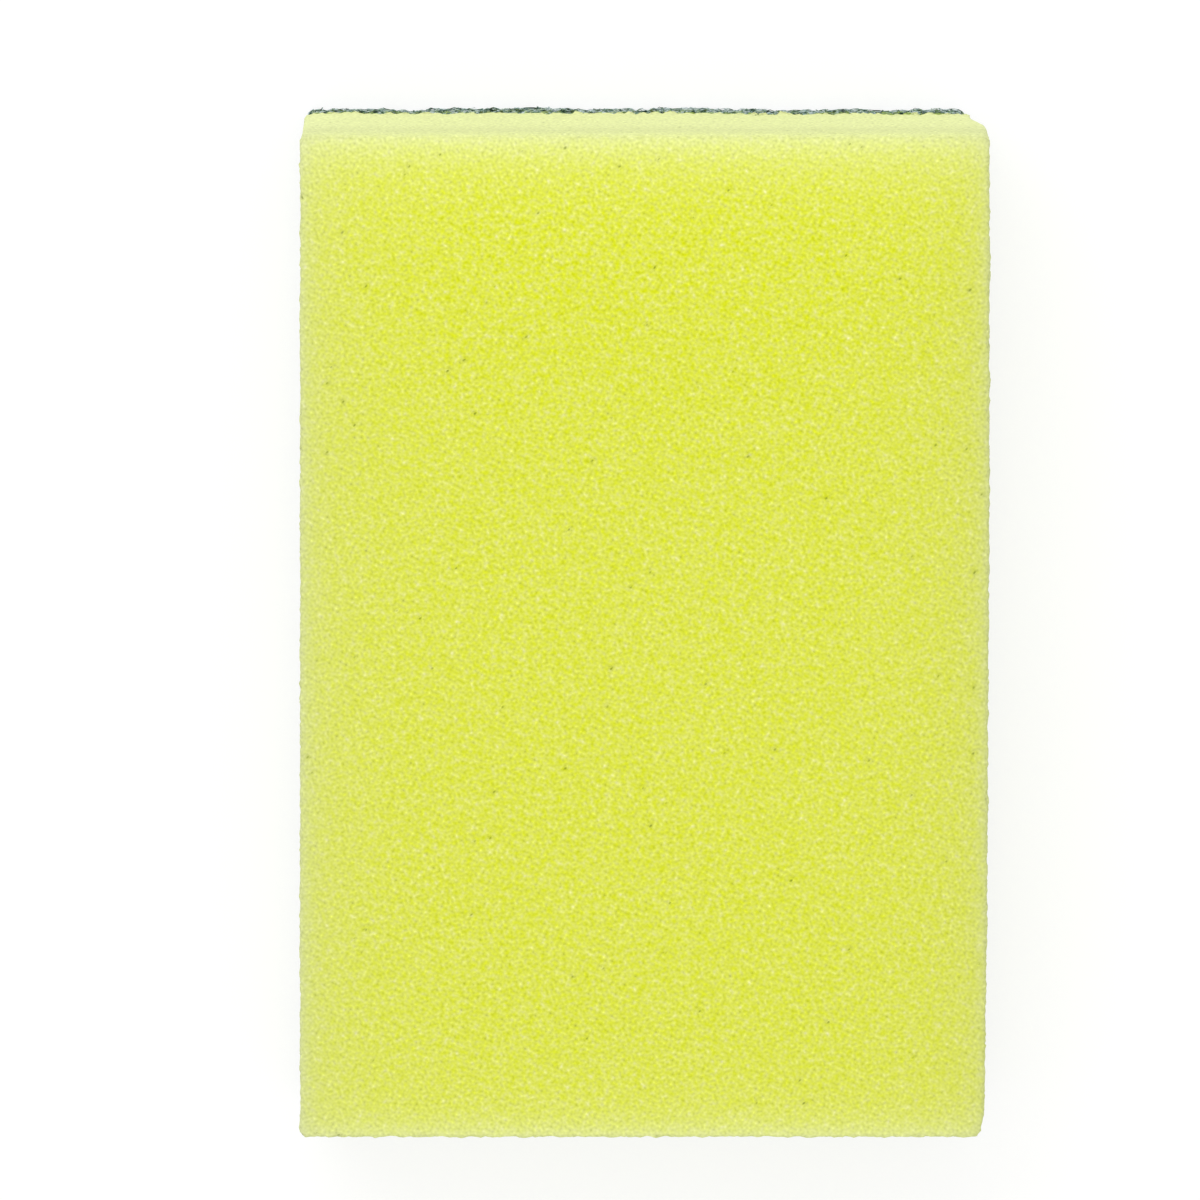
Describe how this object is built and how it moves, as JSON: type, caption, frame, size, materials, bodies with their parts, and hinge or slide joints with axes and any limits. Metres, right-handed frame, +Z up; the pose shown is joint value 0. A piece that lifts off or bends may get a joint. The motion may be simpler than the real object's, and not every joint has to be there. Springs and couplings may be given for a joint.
{
  "type": "cleaning sponge",
  "caption": "Rectangular kitchen cleaning sponge: a thick fine-pored foam block with a thin fibrous scouring pad bonded to its back.",
  "frame": {"origin": "on the surface that the sponge lies on, under the middle of the foam face", "axes": "+Z up through the thickness, from the scouring pad to the foam face; +Y along the length, towards the end that the picture shows at the top; +X across the width, towards the side that steps in above the pad"},
  "size_m": [0.0886, 0.13, 0.03],
  "materials": {
    "foam": "matte yellow-lime open-cell foam with fine pores, paler along its cut edges",
    "scouring_fibre": "matte dark grey-green non-woven abrasive fibre"
  },
  "bodies": {
    "root": {"foam_block": "foam", "scouring_pad": "scouring_fibre"}
  },
  "joints": []
}
